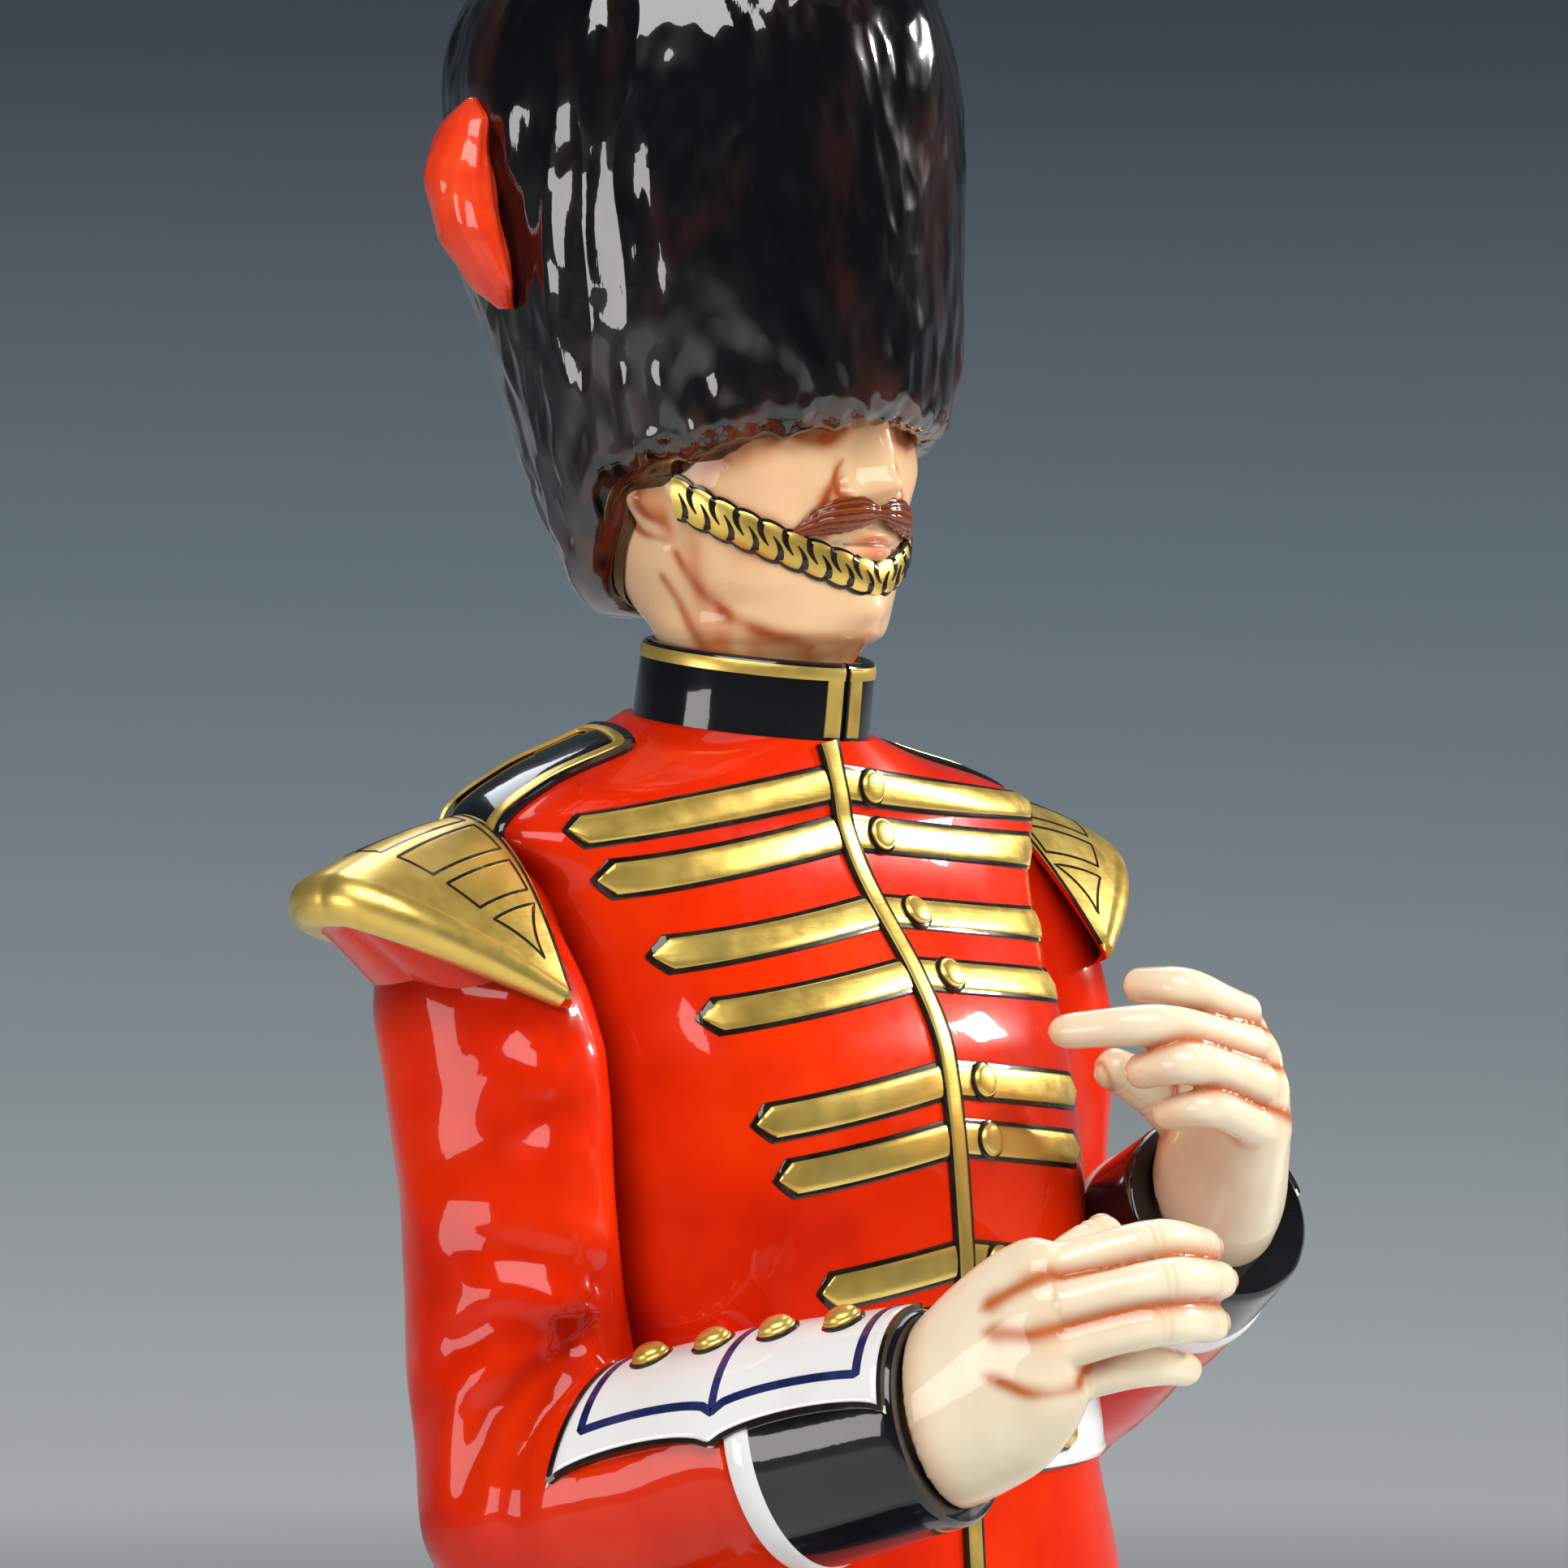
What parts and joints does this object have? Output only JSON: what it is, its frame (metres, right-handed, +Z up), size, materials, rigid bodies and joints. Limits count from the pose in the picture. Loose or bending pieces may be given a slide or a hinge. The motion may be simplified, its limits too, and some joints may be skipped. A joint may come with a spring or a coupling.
{
  "type": "toy soldier figure",
  "caption": "Standing glazed porcelain guardsman figure in a red full-dress tunic and tall black fur cap, hands posed as if round an instrument, on a rounded plinth.",
  "frame": {"origin": "middle of the plinth's foot face", "axes": "+Z up the figure, -Y the way the plinth and the tunic face, +X the figure's left hand side"},
  "size_m": [0.112, 0.124, 0.3441],
  "materials": {
    "glaze_black": "gloss black glaze",
    "fur_black": "gloss black glaze over modelled fur",
    "cloth_blue": "gloss dark-blue glaze",
    "cloth_red": "gloss scarlet overglaze enamel",
    "gilt": "burnished gilding with painted dark lines",
    "glaze_white": "gloss white glaze",
    "flesh": "gloss flesh-tinted glaze",
    "hair": "painted red-brown",
    "plume_red": "gloss orange-red enamel"
  },
  "bodies": {
    "root": {"base_plinth": "glaze_black", "right_boot": "glaze_black", "left_boot": "glaze_black", "right_leg": "cloth_blue", "left_leg": "cloth_blue", "tunic_skirt": "cloth_red", "tunic_body": "cloth_red", "waist_belt": "glaze_white", "belt_clasp": "gilt", "belt_stud": "gilt", "front_placket": "gilt", "skirt_placket": "gilt", "right_lace_bars": "gilt", "left_lace_bars": "gilt", "front_buttons": "gilt", "back_buttons": "gilt", "stand_collar": "glaze_black", "head": "flesh", "moustache": "hair", "fur_cap": "fur_black", "plume": "plume_red", "chin_chain": "gilt", "right_shoulder_strap": "glaze_black", "left_shoulder_strap": "glaze_black", "right_wing": "gilt", "left_wing": "gilt", "right_sleeve": "cloth_red", "left_sleeve": "cloth_red", "right_cuff": "glaze_black", "left_cuff": "glaze_black", "right_cuff_flap": "glaze_white", "left_cuff_flap": "glaze_white", "right_flap_buttons": "gilt", "left_flap_buttons": "gilt", "right_hand": "flesh", "left_hand": "flesh"}
  },
  "joints": []
}
